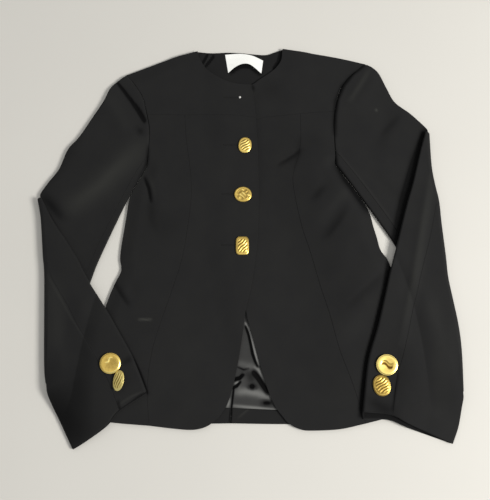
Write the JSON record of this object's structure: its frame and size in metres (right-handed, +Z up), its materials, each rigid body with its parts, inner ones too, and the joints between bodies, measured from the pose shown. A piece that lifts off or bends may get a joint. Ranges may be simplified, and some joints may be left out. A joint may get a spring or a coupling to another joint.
{
  "type": "collarless blazer",
  "caption": "Short fitted collarless blazer with gilt buttons, laid flat on its back with both forearms folded over.",
  "frame": {"origin": "middle of the laid-out garment's box, on the surface that it lies on", "axes": "+X to the wearer's left, +Y towards the neck, +Z up from the surface, out of the front"},
  "size_m": [0.6404, 0.6221, 0.0257],
  "materials": {
    "black_crepe": "matt black crepe, fine weave",
    "lining_satin": "black satin",
    "label_satin": "white satin, bare",
    "gilt_metal": "gilt, polished, with soft relief",
    "thread": "pale thread"
  },
  "bodies": {
    "root": {"back_hem_facing_left": "black_crepe", "back_hem_facing_right": "black_crepe", "back_left": "black_crepe", "back_lining": "lining_satin", "back_neck_facing": "black_crepe", "back_right": "black_crepe", "cuff_button_oval_left": "gilt_metal", "cuff_button_oval_right": "gilt_metal", "cuff_button_round_left": "gilt_metal", "cuff_button_round_right": "gilt_metal", "front_button_lower": "gilt_metal", "front_button_middle": "gilt_metal", "front_button_upper": "gilt_metal", "front_centre_left": "black_crepe", "front_centre_right": "black_crepe", "front_side_left": "black_crepe", "front_side_right": "black_crepe", "label": "label_satin", "sleeve_top_left": "black_crepe", "sleeve_top_right": "black_crepe", "sleeve_under_left": "black_crepe", "sleeve_under_right": "black_crepe", "top_button_thread": "thread", "yoke_left": "black_crepe", "yoke_right": "black_crepe"}
  },
  "joints": []
}
